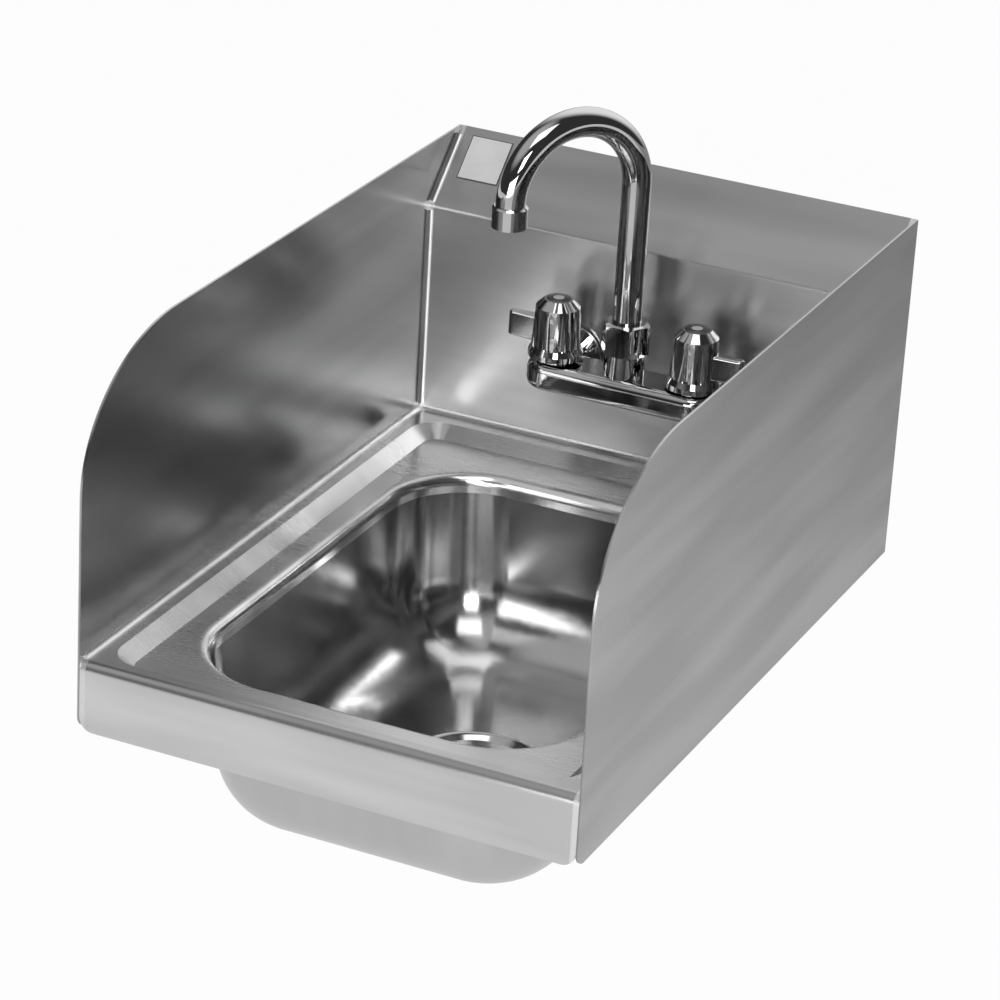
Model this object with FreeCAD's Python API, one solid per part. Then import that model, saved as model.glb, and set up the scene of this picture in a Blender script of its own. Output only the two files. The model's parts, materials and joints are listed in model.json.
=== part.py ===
import FreeCAD, Part
import math
import os

# Wall-hung stainless hand sink with side splashes and a two-handle gooseneck faucet.
# X runs to the right, Y towards the wall, Z up. The wall is the plane Y = 0.
# The shapes are drawn with the deck at Z = 0, then moved so that the origin
# lies on the wall, midway between the two screws of the wall bracket.

# Sheet metal of the sink
sink_width = 324.0
sink_depth = 490.0
sheet = 1.5
apron_height = 45.0
apron_bend_radius = 6.0
lower_corner_radius = 9.0
splash_height = 188.0
splash_standoff = 44.7
splash_fold_height = 145.0
splash_skirt = 20.0
splash_bend_radius = 3.0
side_curve_depth = 107.0
side_curve_height = 85.0
weld_radius = 3.5

# Sunken deck, rolled rim and drawn bowl
side_border = 12.0
front_border = 11.0
back_border = 14.0
pan_corner_radius = 20.0
pan_slope_run = 10.0
pan_drop = 8.0
side_ledge = 13.0
front_ledge = 14.0
back_ledge = 30.0
rim_corner_radius = 64.0
rim_radius = 7.0
rim_collar = 5.0
bowl_depth = 122.0
bowl_draft = 8.0
bowl_bottom_radius = 50.0

# Wall bracket and the flanges that meet the wall
hook_flange = 25.0
bracket_sheet = 2.0
bracket_length = 260.0
bracket_plate_height = 28.0
bracket_lip_height = 12.0
bracket_slot_clearance = 0.4
wall_screw_spacing = 200.0
wall_screw_radius = 3.5
wall_screw_drop = 14.0
rear_flange_width = 16.0
rear_flange_gap = 6.0
lower_screw_radius = 3.0
lower_screw_height = 22.0

# Drain
drain_flange_radius = 38.0
drain_flange_thickness = 4.0
drain_flange_edge = 1.5
drain_seal_thickness = 1.0
drain_seal_width = 7.0
drain_seat_clearance = 1.0
drain_dish_radius = 44.0
drain_dish_edge = 2.0
drain_tail_radius = 24.1
drain_tail_length = 46.0
drain_bore_radius = 20.5
drain_hole_clearance = 0.9
strainer_radius = 25.5
strainer_thickness = 1.6
strainer_clearance = 0.4
strainer_hole_radius = 3.0
strainer_inner_count = 6
strainer_outer_count = 12
strainer_ring_pitch = 8.5
strainer_bar_width = 6.0
strainer_bar_height = 5.0
strainer_boss_radius = 5.0
strainer_screw_radius = 2.4
strainer_screw_head_radius = 4.2
strainer_screw_head_height = 1.8
gasket_width = 10.0
gasket_thickness = 3.0
friction_washer_thickness = 1.0
drain_nut_flats = 62.0
drain_nut_height = 8.0

# Faucet body and its inlets
faucet_standoff = 34.3
faucet_axis_height = 64.0
handle_spacing = 97.0
inlet_spacing = 101.6
bar_width = 35.0
bar_height = 19.0
bar_edge_radius = 6.0
bar_end_flat = 2.0
spout_boss_radius = 13.6
spout_boss_height = 18.5
spout_bore_radius = 11.4
spout_bore_depth = 29.0
valve_boss_radius = 12.5
valve_boss_height = 6.0
valve_bore_radius = 9.3
valve_bore_depth = 21.5
inlet_boss_radius = 14.0
shank_radius = 10.48
shank_bore_radius = 6.5
shank_seat_depth = 6.0
shank_end_from_wall = 12.0
shank_hole_clearance = 0.7
thread_gap = 0.05
thread_relief_width = 1.2
thread_relief_depth = 0.5
escutcheon_radius = 21.0
escutcheon_thickness = 7.0
escutcheon_rim = 2.0
splash_gasket_thickness = 1.5
splash_gasket_radius = 20.0
shank_washer_radius = 17.0
shank_washer_thickness = 1.5
shank_nut_flats = 30.0
shank_nut_height = 7.0

# Quarter-turn valve
seal_height = 2.0
seal_bore_radius = 5.6
disc_radius = 7.7
fixed_disc_height = 3.0
moving_disc_height = 3.0
disc_gap = 0.1
port_radius = 1.9
port_offset = 4.2
chamber_radius = 8.0
chamber_height = 10.0
bonnet_flats = 22.0
bonnet_hex_height = 4.5
bonnet_neck_radius = 8.0
bonnet_neck_height = 11.0
stem_radius = 4.0
stem_running_gap = 0.05
stem_flange_height = 2.4
stem_reach = 12.0
stem_lug_width = 2.6
stem_lug_depth = 1.2
lug_gap = 0.15

# Handles
handle_base_gap = 2.5
handle_height = 39.0
handle_foot_radius = 18.0
handle_foot_height = 3.5
handle_waist_radius = 16.2
handle_shoulder_radius = 14.6
handle_shoulder_drop = 5.0
handle_top_rim = 1.5
handle_web = 1.5
handle_flute_count = 10
handle_flute_radius = 4.2
handle_flute_depth = 1.4
handle_skirt_radius = 13.6
handle_neck_clearance = 0.6
socket_gap = 0.05
lever_reach = 34.0
lever_height = 17.0
lever_root_width = 9.0
lever_tip_width = 7.0
lever_edge_radius = 1.6
lever_centre_height = 16.0
button_radius = 8.0
button_height = 2.6
button_dome = 0.8
button_gap = 0.1
handle_screw_radius = 1.9
handle_screw_head_radius = 3.7
handle_screw_head_height = 2.4
handle_screw_length = 9.0
screw_hole_gap = 0.15

# Gooseneck spout
spout_radius = 9.5
spout_wall = 1.2
spout_bend_radius = 47.5
spout_spring_height = 203.5
spout_straight_end = 4.0
spout_rest_turn = 32.0
spout_running_gap = 0.08
braze_gap = 0.02
collar_flange_height = 3.0
collar_flange_radius = 12.9
collar_length = 24.0
seal_section_radius = 0.5
seal_groove_gap = 0.02
seal_first_height = 6.0
seal_pitch = 6.0
nut_flats = 28.5
nut_height = 21.0
nut_overlap = 3.0
nut_chamfer = 1.6
thrust_washer_height = 1.4
thrust_gap = 0.05

# Aerator
aerator_radius = 11.4
aerator_length = 14.0
aerator_lip_radius = 8.0
aerator_lip_height = 1.6
aerator_edge_radius = 1.2
aerator_washer_bore = 6.5
aerator_washer_height = 2.0
insert_floor = 1.4
insert_wall = 1.4
insert_hole_radius = 0.8
insert_ring_pitch = 2.9
insert_inner_count = 6
insert_outer_count = 12
insert_gap = 0.05

# Shared allowance by which every cut runs past the material
overrun = 5.0
near_zero = 0.01
full_turn = 360.0
half_turn = 180.0
hex_sides = 6
quarter_weight_share = math.sqrt(0.5)
middle_share = 0.5

# Places that follow from the sizes above
half_inside = sink_width / 2 - sheet
front_y = -sink_depth
splash_y = -splash_standoff
splash_back_y = splash_y + sheet
hook_bottom = splash_height - hook_flange
wall_screw_height = hook_bottom - wall_screw_drop
pan_front = front_y + front_border
pan_back = splash_y - back_border
pan_half = sink_width / 2 - side_border
rim_half = pan_half - pan_slope_run - side_ledge
rim_front = pan_front + pan_slope_run + front_ledge
rim_back = pan_back - pan_slope_run - back_ledge
collar_top = -pan_drop - rim_radius
bowl_top = collar_top - rim_collar
bowl_centre_y = (rim_front + rim_back) / 2
bowl_floor_half = rim_half - rim_radius - bowl_draft
bowl_floor_radius = min(bowl_bottom_radius, bowl_floor_half - drain_dish_radius - drain_dish_edge - sheet)
drain_seat = -bowl_depth - drain_flange_thickness - drain_seal_thickness
drain_tail_end = drain_seat + drain_seal_thickness - drain_tail_length
drain_hole_radius = drain_tail_radius + drain_hole_clearance
faucet_y = splash_y - faucet_standoff
bar_bottom = faucet_axis_height - bar_height / 2
bar_top = bar_bottom + bar_height
valve_top = bar_top + valve_boss_height
valve_floor = valve_top - valve_bore_depth
disc_floor = valve_floor + seal_height
moving_floor = disc_floor + fixed_disc_height + disc_gap
stem_floor = moving_floor + moving_disc_height + disc_gap
bonnet_top = valve_top + bonnet_hex_height + bonnet_neck_height
stem_top = bonnet_top + stem_reach
handle_bottom = bar_top + handle_base_gap
handle_top = handle_bottom + handle_height
boss_top = bar_top + spout_boss_height
nut_bottom = boss_top - nut_overlap
nut_top = nut_bottom + nut_height
collar_bottom = boss_top - collar_length
outlet_top = spout_spring_height
outlet_bottom = outlet_top - aerator_length
side_signs = {"hot": -1, "cold": 1}

point = FreeCAD.Vector
rightwards = point(1, 0, 0)
forwards = point(0, 1, 0)
upwards = point(0, 0, 1)


def face_of(points):
    return Part.Face(Part.makePolygon(points + points[:1]))


def rounded_rectangle(half_x, low_y, high_y, radius, z):
    """Closed wire of four lines and four corner arcs, always started at the same corner."""
    left, right = -half_x, half_x
    bend = radius * quarter_weight_share
    ends = [(right - radius, low_y), (right, low_y + radius), (right, high_y - radius),
            (right - radius, high_y), (left + radius, high_y), (left, high_y - radius),
            (left, low_y + radius), (left + radius, low_y)]
    centres = [(right - radius, low_y + radius, 1, -1), (right - radius, high_y - radius, 1, 1),
               (left + radius, high_y - radius, -1, 1), (left + radius, low_y + radius, -1, -1)]
    edges = []
    for corner, (cx, cy, sx, sy) in enumerate(centres):
        start = point(*ends[2 * corner], z)
        end = point(*ends[2 * corner + 1], z)
        middle = point(cx + sx * bend, cy + sy * bend, z)
        following = point(*ends[(2 * corner + 2) % len(ends)], z)
        edges.append(Part.Arc(start, middle, end).toShape())
        edges.append(Part.makeLine(end, following))
    return Part.Wire(edges)


def loft(*wires):
    return Part.makeLoft(list(wires), True, True)


def prism(wire, height):
    return Part.Face(wire).extrude(point(0, 0, height))


def extrude_along_x(profile, low_x, high_x):
    """Extrude a face drawn in the plane X = 0 from low_x to high_x."""
    profile.translate(point(low_x, 0, 0))
    return profile.extrude(point(high_x - low_x, 0, 0))


def box_between(low, high):
    size = high - low
    return Part.makeBox(size.x, size.y, size.z, low)


def turned(profile, x, y):
    """Revolve (radius, height) points about the upright axis through x, y."""
    points = [point(x + radius, y, height) for radius, height in profile]
    return face_of(points).revolve(point(x, y, 0), point(0, 0, 1), full_turn)


def ring(outer, inner, low, high, x, y):
    return turned([(inner, low), (outer, low), (outer, high), (inner, high)], x, y)


def disc(radius, low, high, x, y):
    return Part.makeCylinder(radius, high - low, point(x, y, low))


def turned_to_wall(shape, x, z):
    """Lay a shape made about the upright axis through the origin along +Y at x, z."""
    shape.rotate(point(0, 0, 0), point(1, 0, 0), -half_turn / 2)
    shape.translate(point(x, 0, z))
    return shape


def hexagon(flats, low, high, x, y):
    corner = flats / 2 / math.cos(math.pi / hex_sides)
    angles = [2 * math.pi * side / hex_sides for side in range(hex_sides)]
    points = [point(x + corner * math.cos(a), y + corner * math.sin(a), low) for a in angles]
    return face_of(points).extrude(point(0, 0, high - low))


def around(count, radius, x, y, start_share=0):
    """Centres of count places on a circle, the first one turned by a share of the pitch."""
    for index in range(count):
        angle = 2 * math.pi * (index + start_share) / count
        yield x + radius * math.cos(angle), y + radius * math.sin(angle)


def relief(radius, low, x, y):
    """Ring that cuts the groove where the free end of a thread starts."""
    return ring(radius + overrun, radius - thread_relief_depth, low, low + thread_relief_width, x, y)


def edges_where(shape, test):
    return [edge for edge in shape.Edges if test(edge)]


def flat_at(z):
    """Test for edges that lie in the plane at height z."""
    def test(edge):
        return all(abs(vertex.Z - z) < near_zero for vertex in edge.Vertexes)
    return test


def edges_on(shape, wire):
    """Edges of a shape whose middle and ends lie on a wire."""
    def test(edge):
        middle = edge.valueAt((edge.FirstParameter + edge.LastParameter) / 2)
        places = [Part.Vertex(middle)] + edge.Vertexes
        return all(place.distToShape(wire)[0] < near_zero for place in places)
    return edges_where(shape, test)


def sheet_profile(line, thickness):
    """Closed Y-Z profile of a folded sheet whose outer face follows an open line of (y, z)."""
    count = len(line)
    normals = []
    for (y0, z0), (y1, z1) in zip(line, line[1:]):
        length = math.hypot(y1 - y0, z1 - z0)
        normals.append(((z1 - z0) / length, -(y1 - y0) / length))
    inner = []
    for index in range(count):
        before = normals[max(index - 1, 0)]
        after = normals[min(index, count - 2)]
        scale = thickness / (1 + before[0] * after[0] + before[1] * after[1])
        y, z = line[index]
        inner.append((y + scale * (before[0] + after[0]), z + scale * (before[1] + after[1])))
    outline = line + inner[::-1]
    return face_of([point(0, y, z) for y, z in outline])


def weld(start, run, first, second):
    """Polished concave weld along run, in the corner between faces that open to first and second."""
    hollow = weld_radius - weld_radius * quarter_weight_share
    low = start + first * weld_radius
    high = start + second * weld_radius
    middle = start + first * hollow + second * hollow
    arc = Part.Arc(low, middle, high).toShape()
    section = Part.Wire([Part.makeLine(start, low), arc, Part.makeLine(high, start)])
    return Part.Face(section).extrude(run)


# Sink

def pan_shell():
    """Border, slope and ledge of the sunken deck, still closed over the bowl."""
    plate = box_between(point(-half_inside, front_y + apron_bend_radius, -sheet),
                        point(half_inside, splash_y, 0))
    foot_radius = pan_corner_radius - pan_slope_run

    def pan(top):
        upper = rounded_rectangle(pan_half, pan_front, pan_back, pan_corner_radius, top)
        lower = rounded_rectangle(pan_half - pan_slope_run, pan_front + pan_slope_run,
                                  pan_back - pan_slope_run, foot_radius, top - pan_drop)
        return loft(upper, lower)

    mouth = rounded_rectangle(pan_half, pan_front, pan_back, pan_corner_radius, 0)
    hollow = pan(0).fuse(prism(mouth, overrun))
    return plate.fuse(pan(-sheet)).cut(hollow)


def rim_wire(outset, z):
    return rounded_rectangle(rim_half + outset, rim_front - outset, rim_back + outset,
                             rim_corner_radius + outset, z)


def rolled_rim():
    """Edge of the ledge rolled down into a short upright collar."""
    def roll(outset, top, bend):
        block = prism(rim_wire(outset, bowl_top), top - bowl_top)
        opening = prism(rim_wire(-bend, bowl_top - overrun), top - bowl_top + 2 * overrun)
        block = block.cut(opening)
        return block.makeFillet(bend, edges_on(block, rim_wire(-bend, top)))

    outer = roll(sheet, -pan_drop, rim_radius)
    inner = roll(2 * sheet, -pan_drop - sheet, rim_radius - sheet)
    return outer.cut(inner)


def front_apron():
    """Front edge of the deck bent down, with rounded lower corners."""
    def outline(front, top, bend):
        hollow = bend - bend * quarter_weight_share
        knee = [point(0, front, top - bend), point(0, front + hollow, top - hollow),
                point(0, front + bend, top)]
        return knee, Part.Arc(*knee).toShape()

    outer, outer_arc = outline(front_y, 0, apron_bend_radius)
    inner, inner_arc = outline(front_y + sheet, -sheet, apron_bend_radius - sheet)
    foot_out = point(0, front_y, -apron_height)
    foot_in = point(0, front_y + sheet, -apron_height)
    wire = Part.Wire([Part.makeLine(foot_out, outer[0]), outer_arc,
                      Part.makeLine(outer[2], inner[2]), inner_arc,
                      Part.makeLine(inner[0], foot_in), Part.makeLine(foot_in, foot_out)])
    apron = extrude_along_x(Part.Face(wire), -half_inside, half_inside)

    def lower_corner(edge):
        centre = edge.CenterOfMass
        return abs(abs(centre.x) - half_inside) < sheet / 2 and flat_at(-apron_height)(edge)

    return apron.makeFillet(lower_corner_radius, edges_where(apron, lower_corner))


def deck_welds():
    """Welds where the deck meets the two side splashes and the backsplash."""
    run = point(0, sink_depth - splash_standoff - apron_bend_radius, 0)
    welds = [weld(point(-half_inside, splash_y, 0), point(2 * half_inside, 0, 0), -forwards, upwards)]
    for side in (-1, 1):
        start = point(side * half_inside, front_y + apron_bend_radius, 0)
        welds.append(weld(start, run, rightwards * -side, upwards))
    return welds


def deck():
    opening = prism(rim_wire(sheet, -pan_drop - overrun), 2 * overrun)
    shape = pan_shell().cut(opening).fuse([rolled_rim(), front_apron()] + deck_welds())
    return shape.removeSplitter()


def bowl_body(outset):
    """Drafted bowl, grown by outset, whose bottom radius leaves room for the drain dish."""
    wall = rim_radius - outset
    top = rim_wire(-wall, bowl_top)
    lower = rounded_rectangle(rim_half - wall - bowl_draft, rim_front + wall + bowl_draft,
                              rim_back - wall - bowl_draft, rim_corner_radius - wall,
                              -bowl_depth - outset)
    body = loft(top, lower)
    floor_edges = edges_where(body, flat_at(-bowl_depth - outset))
    body = body.makeFillet(bowl_floor_radius + outset, floor_edges)
    seat = drain_flange_radius + drain_seat_clearance + outset
    dish = turned([(0, -bowl_depth), (drain_dish_radius + outset, -bowl_depth - outset),
                   (seat, drain_seat - outset), (0, drain_seat - outset)], 0, bowl_centre_y)
    body = body.fuse(dish)
    lip_centre = point(0, bowl_centre_y, -bowl_depth - outset)
    mouth = Part.Wire(Part.makeCircle(drain_dish_radius + outset, lip_centre))
    return body.makeFillet(drain_dish_edge + sheet - outset, edges_on(body, mouth))


def bowl():
    hole = disc(drain_hole_radius, drain_seat - overrun, drain_seat + overrun, 0, bowl_centre_y)
    return bowl_body(sheet).cut(bowl_body(0)).cut(hole)


def backsplash_welds():
    """Welds up both ends of the backsplash and along the ends of its sloped top, clear of the bend."""
    slope = point(0, splash_standoff, splash_height - splash_fold_height)
    along = point(slope).normalize()
    outwards = point(0, -along.z, along.y)
    upright = point(0, 0, splash_fold_height - weld_radius - splash_bend_radius)
    run = slope - along * (2 * weld_radius + splash_bend_radius)
    welds = []
    for side in (-1, 1):
        inwards = rightwards * -side
        foot = point(side * half_inside, splash_y, weld_radius)
        fold = point(side * half_inside, splash_y, splash_fold_height)
        welds.append(weld(foot, upright, inwards, -forwards))
        welds.append(weld(fold + along * splash_bend_radius, run, inwards, outwards))
    return welds


def backsplash():
    """Upright sheet, sloped top and the rear flange that hangs on the wall bracket."""
    line = [(splash_y, -splash_skirt), (splash_y, splash_fold_height), (0, splash_height),
            (0, hook_bottom)]
    shape = extrude_along_x(sheet_profile(line, sheet), -half_inside, half_inside)
    fold = edges_where(shape, lambda edge: edge.BoundBox.XLength > half_inside
                       and flat_at(splash_fold_height)(edge))
    shape = shape.makeFillet(splash_bend_radius, fold)
    holes = []
    for sign in side_signs.values():
        hole = disc(shank_radius + shank_hole_clearance, splash_y - overrun, splash_back_y + overrun, 0, 0)
        holes.append(turned_to_wall(hole, sign * inlet_spacing / 2, faucet_axis_height))
    return shape.cut(holes).fuse(backsplash_welds())


def side_splash(sign):
    """Side panel with a large rounded front corner and a flange turned in at the wall."""
    inside = sign * half_inside
    curve = Part.BezierCurve()
    start = point(inside, front_y, splash_height - side_curve_height)
    end = point(inside, front_y + side_curve_depth, splash_height)
    curve.setPoles([start, point(inside, front_y, splash_height), end])
    curve.setWeight(2, quarter_weight_share)
    low_front = point(inside, front_y, -apron_height)
    low_back = point(inside, 0, -apron_height)
    high_back = point(inside, 0, splash_height)
    wire = Part.Wire([Part.makeLine(low_front, start), curve.toShape(), Part.makeLine(end, high_back),
                      Part.makeLine(high_back, low_back), Part.makeLine(low_back, low_front)])
    panel = Part.Face(wire).extrude(point(sign * sheet, 0, 0))

    def lower_front(edge):
        centre = edge.CenterOfMass
        return abs(centre.y - front_y) < sheet / 2 and flat_at(-apron_height)(edge)

    panel = panel.makeFillet(lower_corner_radius, edges_where(panel, lower_front))
    flange_top = hook_bottom - rear_flange_gap
    inner_edge = inside - sign * rear_flange_width
    flange = box_between(point(min(inside, inner_edge), -sheet, -apron_height),
                         point(max(inside, inner_edge), 0, flange_top))
    hole = turned_to_wall(disc(lower_screw_radius, -sheet - overrun, overrun, 0, 0),
                          inside - sign * rear_flange_width / 2, -lower_screw_height)
    return panel.fuse(flange.cut(hole)).removeSplitter()


def wall_bracket():
    """Strip screwed to the wall, with a lip that the rear flange of the backsplash drops behind."""
    slot = sheet + bracket_slot_clearance
    low = hook_bottom - bracket_plate_height
    outline = [(0, low), (0, hook_bottom), (-slot, hook_bottom),
               (-slot, hook_bottom + bracket_lip_height),
               (-slot - bracket_sheet, hook_bottom + bracket_lip_height),
               (-slot - bracket_sheet, hook_bottom - bracket_sheet),
               (-bracket_sheet, hook_bottom - bracket_sheet), (-bracket_sheet, low)]
    shape = extrude_along_x(face_of([point(0, y, z) for y, z in outline]),
                            -bracket_length / 2, bracket_length / 2)
    for side in (-1, 1):
        hole = disc(wall_screw_radius, -bracket_sheet - overrun, overrun, 0, 0)
        shape = shape.cut(turned_to_wall(hole, side * wall_screw_spacing / 2, wall_screw_height))
    return shape


# Drain

def drain_parts():
    """Flanged drain body with crossbar, its strainer plate and screw, seals and locknut."""
    x, y = 0, bowl_centre_y
    flange_low = drain_seat + drain_seal_thickness
    flange_top = flange_low + drain_flange_thickness
    recess = flange_top - strainer_thickness
    recess_radius = strainer_radius + strainer_clearance
    body = turned([(drain_bore_radius, recess), (recess_radius, recess), (recess_radius, flange_top),
                   (drain_flange_radius - drain_flange_thickness, flange_top),
                   (drain_flange_radius, flange_low + drain_flange_edge), (drain_flange_radius, flange_low),
                   (drain_tail_radius, flange_low), (drain_tail_radius, drain_tail_end),
                   (drain_bore_radius, drain_tail_end)], x, y)
    under = drain_seat - sheet
    gasket_low = under - gasket_thickness
    washer_low = gasket_low - friction_washer_thickness
    nut_low = washer_low - drain_nut_height
    body = body.cut(relief(drain_tail_radius, nut_low - thread_relief_width, x, y))
    bar_low = recess - strainer_bar_height
    reach = (drain_bore_radius + drain_tail_radius) / 2
    crossbar = box_between(point(x - reach, y - strainer_bar_width / 2, bar_low),
                           point(x + reach, y + strainer_bar_width / 2, recess))
    boss = disc(strainer_boss_radius, bar_low, recess, x, y)
    body = body.fuse([crossbar, boss])
    body = body.cut(disc(strainer_screw_radius + thread_gap, bar_low - overrun, recess + overrun, x, y))

    plate = disc(strainer_radius, recess, flange_top, x, y)
    holes = [disc(strainer_screw_radius + screw_hole_gap, recess - overrun, flange_top + overrun, x, y)]
    rings = ((strainer_inner_count, strainer_ring_pitch + strainer_hole_radius / 2),
             (strainer_outer_count, 2 * strainer_ring_pitch + strainer_hole_radius))
    for count, radius in rings:
        for hole_x, hole_y in around(count, radius, x, y):
            holes.append(disc(strainer_hole_radius, recess - overrun, flange_top + overrun, hole_x, hole_y))
    plate = plate.cut(holes)
    head_top = flange_top + strainer_screw_head_height
    screw = turned([(0, bar_low), (strainer_screw_radius, bar_low), (strainer_screw_radius, flange_top),
                    (strainer_screw_head_radius, flange_top), (strainer_screw_radius, head_top),
                    (0, head_top)], x, y)

    wide = drain_hole_radius + gasket_width
    nut = hexagon(drain_nut_flats, nut_low, washer_low, x, y)
    nut = nut.cut(disc(drain_tail_radius + thread_gap, nut_low - overrun, washer_low + overrun, x, y))
    return {
        "drain_body": body,
        "strainer_plate": plate,
        "strainer_screw": screw,
        "drain_seal": ring(drain_flange_radius, drain_flange_radius - drain_seal_width,
                           drain_seat, flange_low, x, y),
        "drain_gasket": ring(wide, drain_tail_radius + thread_gap, gasket_low, under, x, y),
        "drain_friction_washer": ring(wide, drain_tail_radius + thread_gap, washer_low, gasket_low, x, y),
        "drain_locknut": nut,
    }


# Faucet

def faucet_body():
    """Bar casting with two valve towers, a spout boss and two rear inlets."""
    half = handle_spacing / 2
    end = bar_width / 2
    wire = rounded_rectangle(half + end, faucet_y - end, faucet_y + end, end - bar_end_flat / 2,
                             bar_bottom)
    bar = prism(wire, bar_height)
    rims = edges_where(bar, lambda edge: flat_at(bar_top)(edge) or flat_at(bar_bottom)(edge))
    shape = bar.makeFillet(bar_edge_radius, rims)
    cuts = [disc(spout_bore_radius, boss_top - spout_bore_depth, boss_top + overrun, 0, faucet_y)]
    adds = [disc(spout_boss_radius, bar_bottom + bar_edge_radius, boss_top, 0, faucet_y)]
    inlet_face = splash_y - splash_gasket_thickness - escutcheon_thickness
    behind_handle = faucet_y + handle_foot_radius + handle_neck_clearance
    for sign in side_signs.values():
        x = sign * half
        adds.append(disc(valve_boss_radius, bar_bottom + bar_edge_radius, valve_top, x, faucet_y))
        cuts.append(disc(valve_bore_radius, valve_floor, valve_top + overrun, x, faucet_y))
        inlet_x = sign * inlet_spacing / 2
        neck = disc(bar_height / 2, faucet_y, inlet_face, 0, 0)
        boss = disc(inlet_boss_radius, behind_handle, inlet_face, 0, 0)
        adds.append(turned_to_wall(neck.fuse(boss), inlet_x, faucet_axis_height))
        cuts.append(turned_to_wall(disc(shank_radius + thread_gap, inlet_face - shank_seat_depth,
                                        inlet_face + overrun, 0, 0), inlet_x, faucet_axis_height))
    return shape.fuse(adds).cut(cuts)


def inlet_parts(sign):
    """Threaded shank through the backsplash with escutcheon, gasket, washer and locknut."""
    x = sign * inlet_spacing / 2
    gasket_face = splash_y - splash_gasket_thickness
    flange_face = gasket_face - escutcheon_thickness
    washer_face = splash_back_y + shank_washer_thickness
    nut_face = washer_face + shank_nut_height
    bore = shank_radius + thread_gap
    shank = ring(shank_radius, shank_bore_radius, flange_face - shank_seat_depth,
                 -shank_end_from_wall, 0, 0)
    shank = shank.cut(relief(shank_radius, nut_face, 0, 0))
    escutcheon = turned([(bore, flange_face), (inlet_boss_radius, flange_face),
                         (escutcheon_radius, gasket_face - escutcheon_rim),
                         (escutcheon_radius, gasket_face), (bore, gasket_face)], 0, 0)
    nut = hexagon(shank_nut_flats, washer_face, nut_face, 0, 0)
    nut = nut.cut(disc(bore, washer_face - overrun, nut_face + overrun, 0, 0))
    parts = {
        "inlet_shank": shank,
        "escutcheon": escutcheon,
        "splash_gasket": ring(splash_gasket_radius, bore, gasket_face, splash_y, 0, 0),
        "shank_washer": ring(shank_washer_radius, bore, splash_back_y, washer_face, 0, 0),
        "shank_locknut": nut,
    }
    return {name: turned_to_wall(shape, x, faucet_axis_height) for name, shape in parts.items()}


def valve_parts(sign):
    """Quarter-turn ceramic valve: seat seal, two discs, bonnet and stem."""
    x, y = sign * handle_spacing / 2, faucet_y
    chamber_top = disc_floor + chamber_height
    hex_top = valve_top + bonnet_hex_height
    outside = valve_bore_radius - thread_gap
    bonnet = disc(outside, disc_floor, valve_top, x, y)
    bonnet = bonnet.fuse([hexagon(bonnet_flats, valve_top, hex_top, x, y),
                          disc(bonnet_neck_radius, valve_top, bonnet_top, x, y)])
    bonnet = bonnet.cut([disc(chamber_radius, disc_floor - overrun, chamber_top, x, y),
                         disc(stem_radius + stem_running_gap, disc_floor, bonnet_top + overrun, x, y)])

    def ported(radius, low, height):
        ports = [disc(port_radius, low - overrun, low + height + overrun, px, py)
                 for px, py in around(2, port_offset, x, y)]
        return disc(radius, low, low + height, x, y).cut(ports)

    def lug(gap, low, high):
        reach = disc_radius + overrun if gap else port_offset
        return box_between(point(x - stem_lug_width / 2 - gap, y - reach, low),
                           point(x + stem_lug_width / 2 + gap, y + reach, high))

    moving_top = moving_floor + moving_disc_height
    moving = ported(disc_radius, moving_floor, moving_disc_height)
    moving = moving.cut(lug(lug_gap, moving_top - stem_lug_depth - lug_gap, moving_top + overrun))
    stem = disc(stem_radius, stem_floor, stem_top, x, y)
    stem = stem.fuse([disc(disc_radius, stem_floor, stem_floor + stem_flange_height, x, y),
                      lug(0, moving_top - stem_lug_depth, stem_floor)])
    stem = stem.cut(disc(handle_screw_radius + thread_gap, stem_top - handle_screw_length,
                         stem_top + overrun, x, y))
    return {
        "seat_seal": ring(valve_bore_radius - thread_gap, seal_bore_radius, valve_floor, disc_floor, x, y),
        "fixed_disc": ported(disc_radius, disc_floor, fixed_disc_height),
        "moving_disc": moving,
        "valve_bonnet": bonnet,
        "valve_stem": stem,
    }


def lever(sign, x, y):
    """Short upright blade that tapers outwards from the hub, with a rounded tip."""
    low = handle_bottom + lever_centre_height - lever_height / 2
    root = (handle_skirt_radius + handle_shoulder_radius) / 2
    tip = lever_reach - lever_tip_width / 2
    start = point(x + sign * root, y - lever_root_width / 2, low)
    near = point(x + sign * tip, y - lever_tip_width / 2, low)
    nose = point(x + sign * lever_reach, y, low)
    far = point(x + sign * tip, y + lever_tip_width / 2, low)
    finish = point(x + sign * root, y + lever_root_width / 2, low)
    wire = Part.Wire([Part.makeLine(start, near), Part.Arc(near, nose, far).toShape(),
                      Part.makeLine(far, finish), Part.makeLine(finish, start)])
    blade = prism(wire, lever_height)

    def outer_edge(edge):
        centre = edge.CenterOfMass
        level = flat_at(low)(edge) or flat_at(low + lever_height)(edge)
        return level and abs(centre.x - x) > root + near_zero

    return blade.makeFillet(lever_edge_radius, edges_where(blade, outer_edge))


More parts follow.
